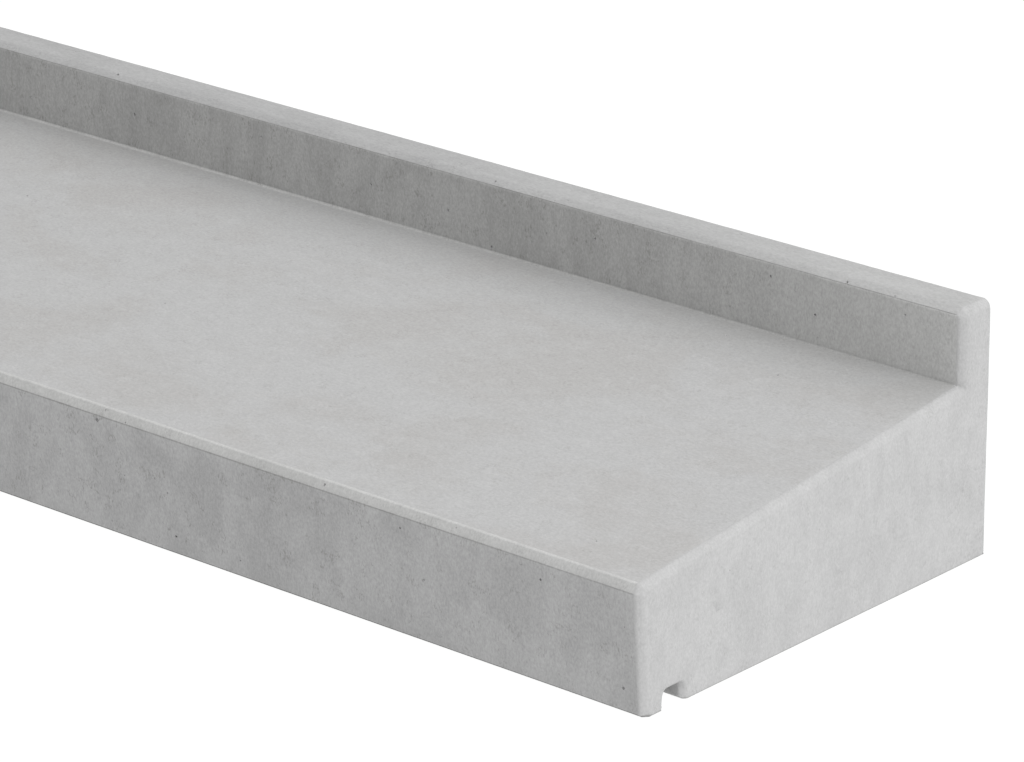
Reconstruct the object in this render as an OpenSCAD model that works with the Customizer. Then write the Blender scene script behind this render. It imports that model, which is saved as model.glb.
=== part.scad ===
// Precast concrete window sill, reinforced for handling.
// X runs along the sill, +Y points to the wall and the window, +Z is up.
// The origin is the middle of the underside's bounding rectangle.

/* [Overall size] */
// Length from end face to end face
sill_length = 1200; // [600:75:1800]
// Depth from the back face to the top of the nose
sill_depth = 280; // [240:5:340]
// Height from the underside to the top of the upstand, two brick courses
sill_height = 140; // [140:5:150]

/* [Nose and weathering] */
// Height of the nose, where its front face would meet the weathering
nose_height = 70; // [68:1:80]
// How far the front face leans out over its height, which frees it from the mould
nose_draft = 5; // [0:0.5:6]
// Height of the weathering where it meets the upstand
weathering_top = 98; // [96:1:108]

/* [Upstand] */
// Thickness of the upstand that the window frame stands on
upstand_width = 26; // [20:1:40]

/* [Drip groove] */
// Concrete left between the front face and the groove, along the underside
groove_setback = 15; // [12:1:25]
// Width of the groove at its mouth
groove_mouth = 14; // [10:1:16]
// Width of the groove at its roof
groove_roof = 12; // [8:1:14]
// Depth of the groove
groove_depth = 10; // [6:1:11]

/* [Arrises] */
// Chamfer on every arris that is seen once the sill is built in
arris = 3.5; // [2:0.5:5]
// Smaller chamfer along the two edges of the underside
bed_arris = 1.5; // [1:0.5:2.5]
// How much further the corners are cut back, where arrises meet at the ends
corner_ease = 0.6; // [0.3:0.1:1]
// How much further the ends of the nose and weathering are cut back than the upstand's
weathering_ease = 0.3; // [0.2:0.1:0.6]

/* [Reinforcement] */
// Concrete cover over the links
cover = 20; // [18:1:22]
// Diameter of the longitudinal bars
bar_d = 8; // [6:1:8]
// Diameter of the links
link_d = 6; // [5:1:6]
// Radius of a link's bends, to the middle of its wire
bend_r = 15; // [14:0.5:16]
// Diameter of the tie wire
tie_d = 1.2; // [0.8:0.1:1.4]

/* [Hidden] */
$fn = 48;

// Section of the sill, as points (y, z)
front_y = -sill_depth / 2;
back_y = sill_depth / 2;
base_front_y = front_y + nose_draft;
upstand_y = back_y - upstand_width;
weathering_slope = (weathering_top - nose_height) / (upstand_y - front_y);
slope_back_z = weathering_top + upstand_width * weathering_slope;

// Each link is a flat loop, with a half-circle bend under the nose and one at the back
link_z = cover + link_d / 2 + bend_r;
nose_to_bend = 53;
front_bend_y = base_front_y + nose_to_bend;
rear_bend_y = back_y - cover - link_d / 2 - bend_r;

// Bars lie inside the link with a film of paste between
paste_film = 0.2;
bar_offset = bend_r - link_d / 2 - paste_film - bar_d / 2;
bar_end_cover = 25;
bar_length = sill_length - 2 * bar_end_cover;
link_end_gap = 20;
link_reach = bar_length / 2 - link_end_gap;
link_count = 7;
link_pitch = 2 * link_reach / (link_count - 1);

// A tie loops round a bar and a link where they cross, tilted half way between them
tie_middle = (bar_offset - bar_d / 2 + bend_r + link_d / 2) / 2;
tie_r = 8.05;

// Two pairs of bars lie between the bends, at these shares of the way from front to rear
pair_shares = [0.3, 0.7];
front_pair_y = front_bend_y + pair_shares[0] * (rear_bend_y - front_bend_y);
rear_pair_y = front_bend_y + pair_shares[1] * (rear_bend_y - front_bend_y);

// Each bar: the point of the link's middle line that it sits by, and its direction from there
BAR_SEATS = [
    [front_bend_y, 180],
    [rear_bend_y, 0],
    [front_pair_y, -90],
    [rear_pair_y, -90],
    [front_pair_y, 90],
    [rear_pair_y, 90]
];

// Spacers stand under the first, middle and last links, in two rows
spacer_rows = [-55, 75];
spacer_links = [0, 3, 6];
spacer_foot_d = 5;
spacer_foot_gap = 14;
spacer_width = 10;
spacer_grip = 5;

function unit(v) = v / norm(v);
function polar(dir, r) = r * [cos(dir), sin(dir)];
function link_x(i) = -link_reach + i * link_pitch;

// Two points in place of a corner, each the chamfer's size away from it
function cut_corner(before, corner, after, size) = [
    corner + size * unit(before - corner),
    corner + size * unit(after - corner)
];

// Turns a shape drawn in (y, z) and raised along x into the sill's frame
module along_sill() {
    rotate([90, 0, 90]) children();
}

// A large block whose face slants across the right-hand end, along one side of an outline
module end_bevel(from, to, size, tilt) {
    big = 2 * sill_depth;
    side = to - from;
    translate([from[0], from[1], sill_length / 2 - size])
        rotate([0, 0, atan2(side[1], side[0])])
        rotate([tilt, 0, 0])
        translate([-big / 2, -big / 2, 0])
        cube([big, big, big / 4]);
}

// A convex section run the length of the sill, with every arris of its two ends chamfered
module chamfered_run(outline, end_arris) {
    count = len(outline);
    difference() {
        translate([0, 0, -sill_length / 2])
            linear_extrude(sill_length) polygon(outline);
        for (i = [0 : count - 1], end = [0, 1]) {
            from = outline[i];
            to = outline[(i + 1) % count];
            side = to - from;
            is_corner = norm(side) < 2 * arris;
            is_bed = side[1] == 0 && side[0] > 0;
            size = is_bed ? bed_arris : is_corner ? end_arris + corner_ease : end_arris;
            mirror([0, 0, end])
                end_bevel(from, to, size, 45);
        }
    }
}

// The sill's main mass: nose, weathering and seat
module weathered_block() {
    base_front = [base_front_y, 0];
    base_back = [back_y, 0];
    slope_back = [back_y, slope_back_z];
    nose_top = [front_y, nose_height];
    chamfered_run(concat(
        cut_corner(nose_top, base_front, base_back, bed_arris),
        cut_corner(base_front, base_back, slope_back, bed_arris),
        [slope_back],
        cut_corner(slope_back, nose_top, base_front, arris)
    ), arris + weathering_ease);
}

// The narrow part at the back, from the underside to the window frame's seat
module upstand_block() {
    foot_front = [upstand_y, 0];
    foot_back = [back_y, 0];
    top_back = [back_y, sill_height];
    top_front = [upstand_y, sill_height];
    chamfered_run(concat(
        [foot_front],
        cut_corner(foot_front, foot_back, top_back, bed_arris),
        cut_corner(foot_back, top_back, top_front, arris),
        cut_corner(top_back, top_front, foot_front, arris)
    ), arris);
}

// The throat that makes rain drip clear of the wall
module drip_groove() {
    splay = (groove_mouth - groove_roof) / 2;
    from_y = base_front_y + groove_setback;
    to_y = from_y + groove_mouth;
    below = 1;
    walls = [
        [to_y, 0],
        [to_y - splay, groove_depth],
        [from_y + splay, groove_depth],
        [from_y, 0]
    ];
    translate([0, 0, -sill_length / 2 - below])
        linear_extrude(sill_length + 2 * below)
        polygon(concat([[from_y, -below], [to_y, -below]], walls));
    for (end = [0, 1])
        mirror([0, 0, end])
        groove_flare(walls, below);
}

// The widening at the end of the groove: full chamfers on its walls and a small one on its roof
module groove_flare(walls, below) {
    reach = arris + below;
    difference() {
        translate([walls[3][0] - reach, -below, sill_length / 2 - reach])
            cube([groove_mouth + 2 * reach, groove_depth + reach + below, reach + below]);
        for (i = [0 : 2])
            end_bevel(walls[i], walls[i + 1], i == 1 ? bed_arris : arris, 135);
    }
}

// One straight longitudinal bar
module bar(i) {
    place = [BAR_SEATS[i][0], link_z] + polar(BAR_SEATS[i][1], bar_offset);
    color("slategray")
        translate([-bar_length / 2, place[0], place[1]])
        rotate([0, 90, 0])
        cylinder(h = bar_length, d = bar_d);
}

// A closed, butt-welded link round the bars
module link(i) {
    color("lightslategray")
        translate([link_x(i), 0, link_z]) {
            for (side = [-1, 1])
                translate([0, front_bend_y, side * bend_r])
                    rotate([-90, 0, 0])
                    cylinder(h = rear_bend_y - front_bend_y, d = link_d);
            along_sill() {
                translate([rear_bend_y, 0, 0])
                    rotate([0, 0, -90])
                    link_bend();
                translate([front_bend_y, 0, 0])
                    rotate([0, 0, 90])
                    link_bend();
            }
        }
}

// The half-circle bend at one end of a link
module link_bend() {
    rotate_extrude(angle = 180)
        translate([bend_r, 0])
        circle(d = link_d);
}

// The loops of soft wire, one at every crossing of a bar and a link
module tie_wires() {
    color("dimgray")
        for (i = [0 : link_count - 1], seat = BAR_SEATS) {
            centre = [seat[0], link_z] + polar(seat[1], tie_middle);
            translate([link_x(i), 0, 0])
                along_sill()
                translate([centre[0], centre[1], 0])
                rotate([0, 0, seat[1]])
                rotate([45, 0, 0])
                rotate_extrude()
                translate([tie_r, 0])
                circle(d = tie_d, $fn = 16);
        }
}

// A plastic chair that holds a link's bottom leg at the right cover while the concrete is poured
module spacer(i, row) {
    crown = cover + spacer_grip;
    shoulder = cover / 2;
    foot_lap = 1;
    color("gainsboro")
        translate([link_x(spacer_links[i]), spacer_rows[row], 0])
        difference() {
            union() {
                for (side = [-1, 1])
                    translate([side * spacer_foot_gap / 2, 0, 0])
                        cylinder(h = shoulder + foot_lap, d = spacer_foot_d);
                translate([-spacer_foot_gap / 2 - spacer_foot_d / 2, -spacer_width / 2, shoulder])
                    cube([spacer_foot_gap + spacer_foot_d, spacer_width, crown - shoulder]);
            }
            translate([0, 0, cover + link_d / 2])
                rotate([90, 0, 0])
                cylinder(h = 2 * spacer_width, d = link_d + 2 * paste_film, center = true);
        }
}

// Everything that is cast into the concrete
module cast_in() {
    for (i = [0 : len(BAR_SEATS) - 1])
        bar(i);
    for (i = [0 : link_count - 1])
        link(i);
    tie_wires();
    for (i = [0 : 2], row = [0, 1])
        spacer(i, row);
}

module concrete_body() {
    color("silver")
        difference() {
            along_sill()
                difference() {
                    union() {
                        weathered_block();
                        upstand_block();
                    }
                    drip_groove();
                }
            cast_in();
        }
}

concrete_body();
bar(0);  // bar_front
bar(1);  // bar_rear
bar(2);  // bar_bottom_front
bar(3);  // bar_bottom_rear
bar(4);  // bar_top_front
bar(5);  // bar_top_rear
link(0);  // link_1
link(1);  // link_2
link(2);  // link_3
link(3);  // link_4
link(4);  // link_5
link(5);  // link_6
link(6);  // link_7
tie_wires();
spacer(0, 0);  // spacer_left_front
spacer(0, 1);  // spacer_left_rear
spacer(1, 0);  // spacer_middle_front
spacer(1, 1);  // spacer_middle_rear
spacer(2, 0);  // spacer_right_front
spacer(2, 1);  // spacer_right_rear
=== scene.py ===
import math
import random

import bmesh
import bpy
from mathutils import Matrix, Vector, noise
from mathutils.geometry import delaunay_2d_cdt


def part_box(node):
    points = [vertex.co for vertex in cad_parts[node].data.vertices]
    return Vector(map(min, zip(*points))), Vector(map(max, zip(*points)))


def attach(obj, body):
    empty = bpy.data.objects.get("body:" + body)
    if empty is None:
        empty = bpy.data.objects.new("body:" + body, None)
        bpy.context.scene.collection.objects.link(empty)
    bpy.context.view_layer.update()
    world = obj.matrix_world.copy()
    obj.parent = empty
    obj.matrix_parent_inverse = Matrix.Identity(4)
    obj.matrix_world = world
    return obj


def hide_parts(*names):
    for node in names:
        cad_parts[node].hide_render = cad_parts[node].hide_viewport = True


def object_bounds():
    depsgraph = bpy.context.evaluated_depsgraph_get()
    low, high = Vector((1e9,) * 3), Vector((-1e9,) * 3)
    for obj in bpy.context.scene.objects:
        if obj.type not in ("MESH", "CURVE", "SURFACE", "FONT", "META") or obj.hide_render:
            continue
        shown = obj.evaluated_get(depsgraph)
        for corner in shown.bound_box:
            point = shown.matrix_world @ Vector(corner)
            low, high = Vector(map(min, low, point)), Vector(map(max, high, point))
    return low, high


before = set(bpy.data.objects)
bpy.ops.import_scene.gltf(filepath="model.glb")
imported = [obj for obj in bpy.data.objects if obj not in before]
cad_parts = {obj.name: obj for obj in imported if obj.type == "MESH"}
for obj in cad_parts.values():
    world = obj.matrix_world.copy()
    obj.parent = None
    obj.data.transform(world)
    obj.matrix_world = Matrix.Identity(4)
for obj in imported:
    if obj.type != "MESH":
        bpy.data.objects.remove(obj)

# A precast concrete window sill. The casting is remade here in fine mesh, and the cage
# inside it keeps its CAD shapes and only gets materials.

mm = 0.001
scene = bpy.context.scene
cadLow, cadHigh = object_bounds()
bodyLow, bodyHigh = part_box("concrete_body")
random.seed(41)


def linear(hexColour):
    # sRGB hex to the linear values that the sockets take
    out = []
    for at in (1, 3, 5):
        c = int(hexColour[at:at + 2], 16) / 255
        out.append(c / 12.92 if c <= 0.04045 else ((c + 0.055) / 1.055) ** 2.4)
    return (*out, 1.0)


def add(tree, kind, settings=None, links=None):
    # one node, with its properties, socket values and incoming links
    made = tree.nodes.new(kind)
    for key, value in (settings or {}).items():
        if isinstance(key, str) and hasattr(made, key):
            setattr(made, key, value)
        else:
            made.inputs[key].default_value = value
    for key, source in (links or {}).items():
        tree.links.new(source, made.inputs[key])
    return made


def newMaterial(name):
    material = bpy.data.materials.new(name)
    material.use_nodes = True
    tree = material.node_tree
    tree.nodes.clear()
    shader = add(tree, "ShaderNodeBsdfPrincipled")
    add(tree, "ShaderNodeOutputMaterial", links={"Surface": shader.outputs[0]})
    return material, tree, shader


# The concrete finishes. Sizes are in millimetres, and shares run from 0 to 1.

# Weathering: wet mix brought up with a steel float, so the face is closed and smooth, with a
# cloudy, slightly warm tone and short sweeps of the float. Towards the upstand's foot it is
# greyer: painted shade where the upstand shades the weathering.
floatedLook = {
    "name": "Concrete, steel-floated",
    "tone": "#a3a3a3", "cloudTone": "#9b9997", "cloudSize": (85, 60, 60), "cloudShare": 0.45,
    "mottleTone": "#acacac", "mottleSize": (14, 8, 8), "mottleShare": 0.3,
    "grainSize": (1.9, 1.3, 1.3), "grainShare": 0.25,
    "fleckTone": "#7b7974", "fleckGap": 9, "fleckSize": (1.2, 0.9, 0.9), "fleckShare": 0.22,
    "bumpHeight": 0.18, "roughness": 0.86,
    # painted shade: greyer towards the upstand's foot
    # axis, from, to, share and tone
    "shade": (1, 62, 113, 0.45, "#8b8b8a"),
}
# Front and back: struck from a steel mould and rubbed down, so the face has fine upright
# drag marks, darker clouds where release oil lay and a scatter of dark flecks.
mouldedLook = {
    "name": "Concrete, mould-struck",
    "tone": "#9e9e9e", "cloudTone": "#8f8f8f", "cloudSize": (30, 30, 46), "cloudShare": 0.6,
    "mottleTone": "#8f8f8f", "mottleSize": (4.5, 4.5, 14), "mottleShare": 0.36,
    "grainSize": (1.1, 1.1, 1.9), "grainShare": 0.36,
    "fleckTone": "#6b6a67", "fleckGap": 9, "fleckSize": (0.8, 0.8, 1.7), "fleckShare": 0.4,
    # painted light: its shade gets lighter towards the right-hand end, also in the arris, edge,
    # seam and bed looks built from this one
    "bumpHeight": 0.17, "roughness": 0.9, "shade": (0, 330, 620, 0.2, "#afafaf"),
}
# Upstand's face: struck from a loose mould side, with soft upright streaks and clusters of
# flecks. Its darker tone is painted shade, as the face looks out over the weathering rather
# than the bright floor, and it gets lighter towards the right-hand end: painted light there.
innerLook = dict(mouldedLook, name="Concrete, struck from an oiled side", tone="#989897",
                 cloudTone="#8b8b8a", mottleTone="#888887", mottleShare=0.42,
                 cloudSize=(24, 24, 60), shade=(0, 330, 600, 0.5, "#b2b2b1"))
# Upstand's top: trowelled lengthwise, so its streaks run along the sill. It gets lighter
# towards the right-hand end: painted light.
topLook = dict(mouldedLook, name="Concrete, trowelled", cloudSize=(90, 24, 24),
               cloudShare=0.4, mottleSize=(16, 3.5, 3.5), mottleShare=0.28,
               grainSize=(2.2, 0.9, 0.9), grainShare=0.3, fleckSize=(1.5, 0.8, 0.8),
               fleckShare=0.2, shade=(0, 200, 620, 0.35, "#afafae"))
# Arrises: rubbed with a carborundum block, so they're even. Their slightly paler tone is
# painted light on the chamfered strips.
arrisLook = dict(mouldedLook, name="Concrete, rubbed arris with painted light", tone="#a6a6a5",
                 cloudTone="#9e9e9d", mottleShare=0.2, grainShare=0.32, fleckShare=0.2,
                 bumpHeight=0.16)
# Nose's upper edge: a thin, pale, closed line, partly worn by the float's last pass and
# partly a painted highlight along the edge.
edgeLook = dict(arrisLook, name="Concrete, floated edge with painted highlight", tone="#b2b2b1",
                cloudTone="#aaaaa9", fleckShare=0)
# Joint lines: a thin darker line where the mould's fillet met the faces. Bed edges: darker
# still, painted shade where the casting meets the floor.
seamLook = dict(mouldedLook, name="Concrete, mould seam", tone="#8c8c8b",
                cloudTone="#848483")
bedLook = dict(seamLook, name="Concrete, bed edge", tone="#686867", cloudTone="#626261")
# Crease at the upstand's foot: a thin pale line, a painted highlight where the fillet catches
# the light, with painted shade that darkens it towards the right.
creaseLook = dict(seamLook, name="Concrete, crease with painted highlight", tone="#a5a5a4",
                  cloudTone="#9b9b9a", shade=(0, 100, 420, 1.0, "#979796"))
# Ends: struck from the mould's stop boards, finer and more even than the long faces.
endLook = {
    "name": "Concrete, stop-end face",
    "tone": "#a4a4a4", "cloudTone": "#9a9a9a", "cloudSize": (26, 26, 40), "cloudShare": 0.5,
    "mottleTone": "#999999", "mottleSize": (5, 5, 12), "mottleShare": 0.34,
    "grainSize": (1.1, 1.1, 1.6), "grainShare": 0.25,
    "fleckTone": "#80807e", "fleckGap": 9, "fleckSize": (0.8, 0.8, 1.5), "fleckShare": 0.25,
    "bumpHeight": 0.14, "roughness": 0.88,
    # painted shade: a thin dark line at the bed, where the end meets the floor
    "shade": (2, 1.3, 0.3, 0.55, "#7c7c7b"),
}
# Ends' upper arrises: eased with the same float as the top, and slightly greyer.
easedLook = dict(endLook, name="Concrete, eased end arris", tone="#a2a2a2",
                 cloudTone="#9a9a9a")


def concreteMaterial(look):
    material, tree, shader = newMaterial(look["name"])
    where = add(tree, "ShaderNodeTexCoord").outputs["Object"]

    def patches(size, **settings):
        # noise in which one cell is one patch of that size
        scale = [1 / (s * mm) for s in size]
        spread = add(tree, "ShaderNodeMapping", {"Scale": scale}, {"Vector": where})
        return add(tree, "ShaderNodeTexNoise", {"Scale": 1.0, **settings},
                   {"Vector": spread.outputs[0]}).outputs[0]

    def layer(factor, low, high, share, under, overTone):
        # a tone laid over the rest where the factor runs from low to high
        amount = add(tree, "ShaderNodeMapRange",
                     {"interpolation_type": "SMOOTHSTEP", "From Min": low, "From Max": high,
                      "To Max": share}, {"Value": factor}).outputs[0]
        return add(tree, "ShaderNodeMix", {"data_type": "RGBA", 7: linear(overTone)},
                   {0: amount, 6: under}).outputs[2]

    cloud = patches(look["cloudSize"], Detail=4.0, Roughness=0.62, Distortion=0.5)
    mottle = patches(look["mottleSize"], Detail=4.0, Roughness=0.65, Distortion=0.3)
    grain = patches(look["grainSize"], Detail=4.0, Roughness=0.68)
    flecks = patches(look["fleckSize"], Detail=1.0)
    sparse = patches([look["fleckGap"]] * 3, Detail=2.0)

    tone = add(tree, "ShaderNodeRGB").outputs[0]
    tone.default_value = linear(look["tone"])
    colour = layer(cloud, 0.40, 0.64, look["cloudShare"], tone, look["cloudTone"])
    colour = layer(mottle, 0.44, 0.72, look["mottleShare"], colour, look["mottleTone"])
    # flecks show only where the sparser patches let them
    let = add(tree, "ShaderNodeMapRange", {"From Min": 0.5, "From Max": 0.62},
              {"Value": sparse}).outputs[0]
    shown = add(tree, "ShaderNodeMath", {"operation": "MULTIPLY"}, {0: flecks, 1: let})
    colour = layer(shown.outputs[0], 0.5, 0.66, look["fleckShare"], colour,
                   look["fleckTone"])
    # painted light and shade: a tone graded along one of the object's axes
    if "shade" in look:
        axis, low, high, share, tone = look["shade"]
        along = add(tree, "ShaderNodeSeparateXYZ", links={0: where}).outputs[axis]
        colour = layer(along, low * mm, high * mm, share, colour, tone)
    # grain lightens and darkens about the tone
    half = look["grainShare"] / 2
    light = add(tree, "ShaderNodeMapRange",
                {"From Min": 0.25, "From Max": 0.75, "To Min": 1 - half, "To Max": 1 + half},
                {"Value": grain}).outputs[0]
    colour = add(tree, "ShaderNodeVectorMath", {"operation": "SCALE"},
                 {0: colour, "Scale": light}).outputs[0]
    tree.links.new(colour, shader.inputs["Base Color"])

    bump = add(tree, "ShaderNodeBump",
               {"Strength": 1.0, "Distance": look["bumpHeight"] * mm}, {"Height": grain})
    tree.links.new(bump.outputs[0], shader.inputs["Normal"])
    rough = add(tree, "ShaderNodeMapRange",
                {"To Min": look["roughness"] - 0.05, "To Max": look["roughness"] + 0.05},
                {"Value": cloud}).outputs[0]
    tree.links.new(rough, shader.inputs["Roughness"])
    shader.inputs["IOR"].default_value = 1.5
    shader.inputs["Specular IOR Level"].default_value = 0.3
    return material


casting = {
    # mesh: gap between rings, their first distance from an end, and the grid on the ends
    "ringGap": 3.2, "ringStart": 8, "endGrid": 9,
    # rounding where an end arris meets the long faces and the end, how much fuller the
    # section's corners get there, and the radius at the corners of the upstand's front
    "endSoftness": 0.8, "faceSoftness": 1.2, "endFullness": 0.5, "faceCorner": 2.2,
    # depths and sizes of the wander of the faces, of wear and of the moulding joints
    "leastDepth": 0.03, "wander": 0.12, "wanderSize": 55, "wear": 0.16, "wearSize": 7,
    "jointDepth": 0.2, "jointSize": 18,
}
floated, moulded, inner, top, arris, edge, seam, bed, crease, stopEnd, eased = range(11)

# lines of the section in millimetres, y inwards and z up
backFace, height = bodyHigh.y / mm, bodyHigh.z / mm
upstandFront, upstandEdge = 114, 3.5
creaseHeight = 98
backEdge, bedEdge = 3.7, 0.35
dripFront, grooveFront, grooveRear, grooveRoof = -134.4, -120, -106, 10
# corners of the nose, from the top down, and where its foot meets the bed
noseTop, noseEdge, noseBed, noseFoot = (-136.52, 70.38), (-139.66, 65.3), (-135.04, 0.6), -135
# how far the end arrises cut back each kind of side
endCut, bedCut, wallCut, roofCut, lipCut = 3.5, 3.3, 2.9, 1.2, 0.4
# The section is walked anticlockwise seen from the right-hand end. Each side gives its start
# point (y, z), the rounding there, its cut-back at the ends, its strips and its finish.
sectionSides = [
    (dripFront, 0, 0.25, lipCut, 8, moulded),                      # underside of the drip
    (grooveFront, 0, 1.9, wallCut, 3, moulded),                    # groove, front wall
    (grooveFront + 1, grooveRoof, 2.8, roofCut, 3, moulded),       # groove, roof
    (grooveRear - 1.6, grooveRoof, 3.2, wallCut, 3, moulded),      # groove, rear wall
    (grooveRear, 0, 1.7, lipCut, 20, moulded),                     # underside
    (backFace - bedEdge, 0, 0.25, bedCut, 1, bed),                 # bed arris at the back
    (backFace, bedEdge, 0.25, endCut, 14, moulded),                # back
    (backFace, height - backEdge, 3.2, endCut, 2, arris),          # top arris at the back
    (backFace - backEdge, height, 3.2, endCut, 5, top),            # upstand top
    (upstandFront + upstandEdge, height, 2.4, endCut, 2, top),     # upstand's top arris
    (upstandFront, height - upstandEdge, 0.7, endCut, 18, inner),  # upstand front
    (upstandFront, creaseHeight, 1.1, endCut, 40, floated),        # weathering
    (*noseTop, 1.6, endCut, 2, arris),                             # nose arris
    (*noseEdge, 1.4, endCut, 14, moulded),                         # front
    (*noseBed, 0.8, bedCut, 1, bed),                               # bed arris at the front
]
# corners whose rounding has a finish of its own, and the finish of each side's end arris
cornerFinish = {0: bed, 5: bed, 6: bed, 10: seam, 11: crease, 12: edge, 13: seam, 14: bed}
endFinish = {top: eased, floated: eased, arris: eased, inner: stopEnd, moulded: stopEnd,
             bed: stopEnd}
jointSides = (10, 13)  # a fine line is left where the mould's fillet met these faces


def roundedPath(points, radii, closed, bends=3):
    # the corners of a path, each turned into an arc of bends + 1 points
    count = len(points)
    path = []
    for i, here in enumerate(points):
        before, after = points[i - 1], points[(i + 1) % count]
        if not closed and i in (0, count - 1):
            path.append([here])
            continue
        a, b = (before - here).normalized(), (after - here).normalized()
        half = math.acos(max(-1, min(1, a.dot(b)))) / 2
        reach = radii[i] / math.tan(half)
        reach = min(reach, 0.48 * (before - here).length, 0.48 * (after - here).length)
        centre = here + (a + b).normalized() * (reach / math.cos(half))
        start, stop = here + a * reach - centre, here + b * reach - centre
        turn = start.angle_signed(stop)
        arc = []
        for k in range(bends + 1):
            step = start.copy()
            step.rotate(Matrix.Rotation(-turn * k / bends, 2))
            arc.append(centre + step)
        path.append(arc)
    return path


def sectionLoop(share, back):
    # The section with every side moved in by that share of its end cut. Each point is
    # (y, z, how far it stands back from the end, side, place in the corner's arc).
    count = len(sectionSides)
    lines = []
    for i, side in enumerate(sectionSides):
        start = Vector(side[:2])
        along = (Vector(sectionSides[(i + 1) % count][:2]) - start).normalized()
        inward = Vector((-along.y, along.x))
        lines.append((start + inward * side[3] * share, along))
    corners = []
    for i in range(count):
        (p, u), (q, v) = lines[i - 1], lines[i]
        corners.append(p + u * ((q - p).cross(v) / u.cross(v)))
    radii = [side[2] * (1 + casting["endFullness"] * share) for side in sectionSides]
    arcs = roundedPath(corners, radii, True)
    loop = []
    for i, arc in enumerate(arcs):
        cut, cutBefore = sectionSides[i][3], sectionSides[i - 1][3]
        for k, point in enumerate(arc):
            blend = k / (len(arc) - 1)
            loop.append((*point, back * (cutBefore + (cut - cutBefore) * blend), i, k))
        strips = sectionSides[i][4]
        for k in range(1, strips):
            # points gather towards the corners of the underside and the upstand's front
            gathered = cut == lipCut or sectionSides[i][5] == inner
            t = (1 - math.cos(math.pi * k / strips)) / 2 if gathered else k / strips
            point = arc[-1].lerp(arcs[(i + 1) % count][0], t)
            loop.append((*point, back * cut, i, -1))
    return loop


def fillEnd(bm, ring, outward, gap):
    # a flat end closed with triangles over a scattered grid
    flat = [v.co.yz for v in ring]
    low = [min(p[k] for p in flat) for k in (0, 1)]
    high = [max(p[k] for p in flat) for k in (0, 1)]
    points = list(flat)
    x = ring[0].co.x
    count = len(flat)

    def inside(p):
        hit = False
        for i in range(count):
            a, b = flat[i - 1], flat[i]
            if (a.y > p.y) != (b.y > p.y):
                if p.x < a.x + (p.y - a.y) / (b.y - a.y) * (b.x - a.x):
                    hit = not hit
        return hit

    for i in range(1, int((high[0] - low[0]) / gap)):
        for j in range(1, int((high[1] - low[1]) / gap) + 1):
            p = Vector((low[0] + (i + random.uniform(-0.2, 0.2)) * gap,
                        low[1] + (j + random.uniform(-0.2, 0.2)) * gap))
            if inside(p) and min((p - q).length for q in flat) > gap * 0.45:
                points.append(p)
    edges = [(i, (i + 1) % count) for i in range(count)]
    found, _, triangles, origins, _, _ = delaunay_2d_cdt(points, edges, [], 1, 1e-7)
    made = []
    for point, source in zip(found, origins):
        first = min(source) if source else count
        made.append(ring[first] if first < count else bm.verts.new((x, point.x, point.y)))
    for triangle in triangles:
        corners = [made[i] for i in triangle]
        a, b, c = (v.co.yz for v in corners)
        if ((b - a).cross(c - a) > 0) != (outward > 0):
            corners.reverse()
        face = bm.faces.new(corners)
        face.material_index = stopEnd
        face.smooth = True


def buildCasting():
    # rings of the section along x, drawn in over the end arrises, then closed
    halfLength = bodyHigh.x / mm
    corner = [Vector((-4, 0)), Vector((-1, 0)), Vector((0, 1)), Vector((0, 3))]
    bends = roundedPath(corner, [0, casting["endSoftness"], casting["faceSoftness"], 0], False)
    endPath = [(-p.x, p.y) for arc in bends[1:3] for p in arc]
    straight = halfLength - casting["ringStart"]
    rounding = casting["faceCorner"]
    rings = int(2 * straight / casting["ringGap"])
    stations = [(-1, halfLength, back, share) for back, share in reversed(endPath)]
    stations += [(1, -straight + 2 * straight * k / rings, 0, 0) for k in range(rings + 1)]
    stations += [(1, halfLength, back, share) for back, share in endPath]

    bm = bmesh.new()
    joints = set()
    grid = []
    for side, x, back, share in stations:
        ring = []
        for y, z, setBack, i, k in sectionLoop(share, back):
            if z < 1 and back > 0:
                # the upright arrises and the groove's carry on across the underside
                setBack = max(setBack, endCut - min(backFace - y, y - noseFoot),
                              wallCut - max(grooveFront - y, y - grooveRear))
            if i == 10 or (i == 11 and k < 2):
                # the upstand's front has rounded corners at its ends
                away = min(abs(height - upstandEdge - z), abs(z - creaseHeight))
                gap = max(0, rounding - away)
                setBack += (rounding - math.sqrt(rounding ** 2 - gap ** 2)) * min(1, back)
            v = bm.verts.new((side * (x - setBack) * mm, y * mm, z * mm))
            if i in jointSides and k >= 2 and share < 0.2:
                joints.add(v)
            ring.append(v)
        grid.append(ring)
    tags = [point[3:] for point in sectionLoop(0, 0)]
    shares = [station[3] for station in stations]
    size = len(tags)
    for near in range(len(grid) - 1):
        far = near + 1
        for i in range(size):
            j = (i + 1) % size
            face = bm.faces.new((grid[near][i], grid[near][j], grid[far][j], grid[far][i]))
            side, bend = tags[i]
            finish = sectionSides[side][5]
            if shares[near] + shares[far] > 0:
                finish = endFinish[finish]
            elif 0 <= bend < 3:
                finish = cornerFinish.get(side, finish)
            face.material_index = finish
            face.smooth = True
    fillEnd(bm, grid[0], -1, casting["endGrid"] * mm)
    fillEnd(bm, grid[-1], 1, casting["endGrid"] * mm)
    return bm, joints


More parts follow.
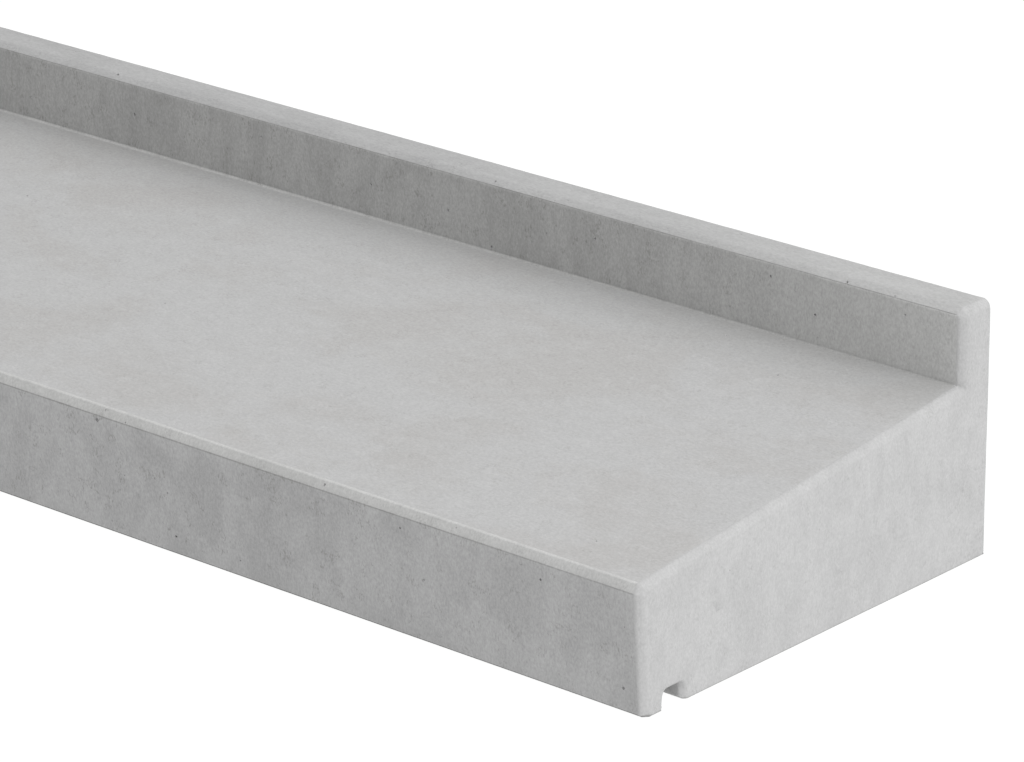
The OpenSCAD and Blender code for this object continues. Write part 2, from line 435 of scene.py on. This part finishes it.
def weather(bm, joints):
    # the faces wander a little, and the arrises are worn by handling
    bm.normal_update()
    moves = []
    for v in bm.verts:
        p = v.co / mm
        wander = 0.5 + 0.5 * noise.noise(p / casting["wanderSize"])
        depth = casting["leastDepth"] + casting["wander"] * wander
        bend = max((e.calc_face_angle(0) for e in v.link_edges), default=0)
        if bend > math.radians(6) and p.z > 2:
            # read from another part of the noise, so that it doesn't follow the wander
            rub = 0.5 + 0.5 * noise.noise(p / casting["wearSize"] + Vector((40, 0, 0)))
            depth += casting["wear"] * rub
        if v in joints:
            fade = 0.6 + 0.8 * noise.noise(p / casting["jointSize"])
            depth += casting["jointDepth"] * fade
        moves.append(v.normal * depth * mm)
    for v, move in zip(bm.verts, moves):
        v.co -= move
        v.co.z = max(v.co.z, bodyLow.z)


# Air bubbles against the mould leave small round pits, and handling nicks the arrises.
pits = {
    # side of the section: how many, smallest and largest radius
    13: (46, 0.35, 1.0),    # front
    10: (30, 0.35, 0.95),   # upstand front
    11: (46, 0.25, 0.7),    # weathering
    8: (6, 0.3, 0.6),       # upstand top
    6: (60, 0.4, 1.3),      # back
    4: (50, 0.4, 1.4),      # underside
    12: (12, 0.4, 0.9),     # nose arris
    9: (8, 0.4, 0.8),       # upstand arris
}
endPits = (16, 0.3, 0.8)
# nearest two pits, least distance from an end, share of a ball's radius that stands out of
# the face, range of its stretch, and the part of each end that has pits
pitting = {"apart": 4, "margin": 6, "proud": 0.3, "stretch": (0.8, 1.3),
           "endY": (-100, 134), "endZ": (5, 70)}


def pitMesh():
    # one mesh with every pit as a small lumpy ball standing half out of the face
    bm = bmesh.new()
    taken = []
    halfLength = bodyHigh.x / mm

    def pit(centre, normal, radius):
        if any((centre - other).length < pitting["apart"] for other in taken):
            return
        taken.append(centre)
        stretch = Matrix.Diagonal([random.uniform(*pitting["stretch"]) for _ in range(3)])
        spin = Matrix.Rotation(random.uniform(0, math.tau), 4, normal)
        place = Matrix.Translation((centre + normal * radius * pitting["proud"]) * mm)
        bmesh.ops.create_icosphere(bm, subdivisions=2, radius=radius * mm,
                                   matrix=place @ spin @ stretch.to_4x4())

    for i, (count, small, large) in pits.items():
        start = Vector((0, *sectionSides[i][:2]))
        end = Vector((0, *sectionSides[(i + 1) % len(sectionSides)][:2]))
        along = (end - start).normalized()
        normal = along.cross(Vector((-1, 0, 0)))
        for _ in range(count):
            centre = start.lerp(end, random.uniform(0.04, 0.96))
            reach = halfLength - pitting["margin"]
            centre.x = random.uniform(-reach, reach)
            pit(centre, normal, small + (large - small) * random.random() ** 2.5)
    for side in (-1, 1):
        count, small, large = endPits
        for _ in range(count):
            centre = Vector((side * halfLength, random.uniform(*pitting["endY"]),
                             random.uniform(*pitting["endZ"])))
            pit(centre, Vector((side, 0, 0)), small + (large - small) * random.random() ** 2)
    mesh = bpy.data.meshes.new("pits")
    bm.to_mesh(mesh)
    bm.free()
    return mesh


bm, joints = buildCasting()
weather(bm, joints)
mesh = bpy.data.meshes.new("casting")
bm.to_mesh(mesh)
bm.free()
body = bpy.data.objects.new("casting", mesh)
scene.collection.objects.link(body)
cutter = bpy.data.objects.new("pits", pitMesh())
scene.collection.objects.link(cutter)
for look in (floatedLook, mouldedLook, innerLook, topLook, arrisLook, edgeLook, seamLook,
             bedLook, creaseLook, endLook, easedLook):
    finish = concreteMaterial(look)
    mesh.materials.append(finish)
    cutter.data.materials.append(finish)
for face in cutter.data.polygons:
    face.material_index = moulded
    face.use_smooth = True
cut = body.modifiers.new("pits", "BOOLEAN")
cut.operation = "DIFFERENCE"
cut.solver = "MANIFOLD"
cut.object = cutter
solid = body.evaluated_get(bpy.context.evaluated_depsgraph_get())
cutMesh = bpy.data.meshes.new_from_object(solid)
body.modifiers.clear()
body.data = cutMesh
bpy.data.objects.remove(cutter)
cutMesh.set_sharp_from_angle(angle=math.radians(50))
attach(body, "root")
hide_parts("concrete_body")
print("casting:", len(mesh.polygons), "faces,", len(cutMesh.polygons), "with its pits")


# Hot-rolled bar: blue-grey mill scale with a bloom of rust, dull and slightly rough.
barLook = {"name": "Steel, hot-rolled", "tone": "#4a4644", "rustTone": "#7a4a30",
           "patchSize": 12, "rustShare": 0.5, "roughness": 0.6}
# Links: cold-drawn wire, greyer and smoother than the bars.
linkLook = {"name": "Steel, cold-drawn wire", "tone": "#6b6a69", "rustTone": "#80573d",
            "patchSize": 8, "rustShare": 0.3, "roughness": 0.45}
# Ties: black annealed wire, dark and dull with its oxide skin.
tieLook = {"name": "Steel, annealed tie wire", "tone": "#2b2a29", "rustTone": "#4a3a30",
           "patchSize": 3, "rustShare": 0.4, "roughness": 0.65}


def steelMaterial(look):
    material, tree, shader = newMaterial(look["name"])
    where = add(tree, "ShaderNodeTexCoord").outputs["Object"]
    patch = add(tree, "ShaderNodeTexNoise",
                {"Scale": 1 / (look["patchSize"] * mm), "Detail": 6.0, "Roughness": 0.6},
                {"Vector": where}).outputs[0]
    share = add(tree, "ShaderNodeMapRange",
                {"From Min": 0.45, "From Max": 0.65, "To Max": look["rustShare"]},
                {"Value": patch}).outputs[0]
    colour = add(tree, "ShaderNodeMix",
                 {"data_type": "RGBA", 6: linear(look["tone"]), 7: linear(look["rustTone"])},
                 {0: share}).outputs[2]
    bare = add(tree, "ShaderNodeMath", {"operation": "SUBTRACT", 0: 0.9}, {1: share}).outputs[0]
    rough = add(tree, "ShaderNodeMath", {"operation": "ADD", 0: look["roughness"]},
                {1: share}).outputs[0]
    bump = add(tree, "ShaderNodeBump", {"Strength": 1.0, "Distance": 0.05 * mm},
               {"Height": patch})
    for socket, source in (("Base Color", colour), ("Metallic", bare), ("Roughness", rough),
                           ("Normal", bump.outputs[0])):
        tree.links.new(source, shader.inputs[socket])
    return material


# Spacers: grey polypropylene, injection moulded, satin with a fine spark texture.
spacerLook = {"name": "Polypropylene, moulded", "tone": "#a9aaa9", "sparkSize": 0.5,
              "roughness": 0.5}


def plasticMaterial(look):
    material, tree, shader = newMaterial(look["name"])
    where = add(tree, "ShaderNodeTexCoord").outputs["Object"]
    spark = add(tree, "ShaderNodeTexNoise",
                {"Scale": 1 / (look["sparkSize"] * mm), "Detail": 2.0},
                {"Vector": where}).outputs[0]
    tint = add(tree, "ShaderNodeMix",
               {"data_type": "RGBA", 6: linear(look["tone"]), 7: linear("#b4b5b4")},
               {0: spark}).outputs[2]
    bump = add(tree, "ShaderNodeBump", {"Strength": 1.0, "Distance": 0.02 * mm},
               {"Height": spark})
    tree.links.new(tint, shader.inputs["Base Color"])
    tree.links.new(bump.outputs[0], shader.inputs["Normal"])
    shader.inputs["Roughness"].default_value = look["roughness"]
    shader.inputs["IOR"].default_value = 1.49
    return material


cageFinish = {"bar": steelMaterial(barLook), "link": steelMaterial(linkLook),
              "tie": steelMaterial(tieLook), "spacer": plasticMaterial(spacerLook)}
for name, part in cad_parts.items():
    finish = cageFinish.get(name.split("_")[0])
    if finish:
        part.data.materials.clear()
        part.data.materials.append(finish)
print("cage:", len(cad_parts) - 1, "nodes finished")


studio = {
    "floorTone": "#404040", "floorGlow": 0.97, "floorSize": 14, "sky": 1.0,
    # place, target, size and power of each softbox
    "softboxes": {
        "key": ((5.3, -0.25, 3.75), (0.25, 0.0, 0.05), 3.5, 285),
    },
}

floorMesh = bpy.data.meshes.new("floor")
half = studio["floorSize"] / 2
low = cadLow.z - 0.3 * mm
floorMesh.from_pydata([(-half, -half, low), (half, -half, low), (half, half, low),
                       (-half, half, low)], [], [(0, 1, 2, 3)])
floor = bpy.data.objects.new("floor", floorMesh)
scene.collection.objects.link(floor)
# light table: opal acrylic lit from below, so that it stays white round the sill
floorMaterial, tree, shader = newMaterial("Acrylic, opal light table")
shader.inputs["Base Color"].default_value = linear(studio["floorTone"])
shader.inputs["Roughness"].default_value = 0.8
shader.inputs["Specular IOR Level"].default_value = 0.0
shader.inputs["Emission Color"].default_value = (1, 1, 1, 1)
shader.inputs["Emission Strength"].default_value = studio["floorGlow"]
floorMesh.materials.append(floorMaterial)

world = bpy.data.worlds.new("studio")
scene.world = world
world.use_nodes = True
world.node_tree.nodes.clear()
sky = add(world.node_tree, "ShaderNodeBackground",
          {"Color": (1, 1, 1, 1), "Strength": studio["sky"]})
add(world.node_tree, "ShaderNodeOutputWorld", links={"Surface": sky.outputs[0]})

for name, (place, target, size, power) in studio["softboxes"].items():
    lamp = bpy.data.lights.new(name, "AREA")
    lamp.shape = "DISK"
    lamp.size = size
    lamp.energy = power
    box = bpy.data.objects.new(name, lamp)
    box.location = place
    aim = Vector(target) - Vector(place)
    box.rotation_euler = aim.to_track_quat("-Z", "Y").to_euler()
    scene.collection.objects.link(box)
scene.view_settings.view_transform = "Standard"
print("studio lit")


lens = {"azimuth": 41.364, "elevation": 20.78, "roll": -0.227, "focal": 189.53,
        "place": (2.1126, -1.9488, 1.0698)}
az, el, roll = (math.radians(lens[key]) for key in ("azimuth", "elevation", "roll"))
back = Vector((math.sin(az) * math.cos(el), -math.cos(az) * math.cos(el), math.sin(el)))
right = Vector((math.cos(az), math.sin(az), 0))
up = back.cross(right)
turned = Matrix((right * math.cos(roll) + up * math.sin(roll),
                 up * math.cos(roll) - right * math.sin(roll), back)).transposed()
camera = bpy.data.objects.new("camera", bpy.data.cameras.new("camera"))
camera.matrix_world = Matrix.Translation(lens["place"]) @ turned.to_4x4()
camera.data.lens = lens["focal"]
camera.data.sensor_width = 36
camera.data.clip_start = 0.05
camera.data.clip_end = 50
scene.collection.objects.link(camera)
scene.camera = camera
print("camera set")

bpy.context.view_layer.update()
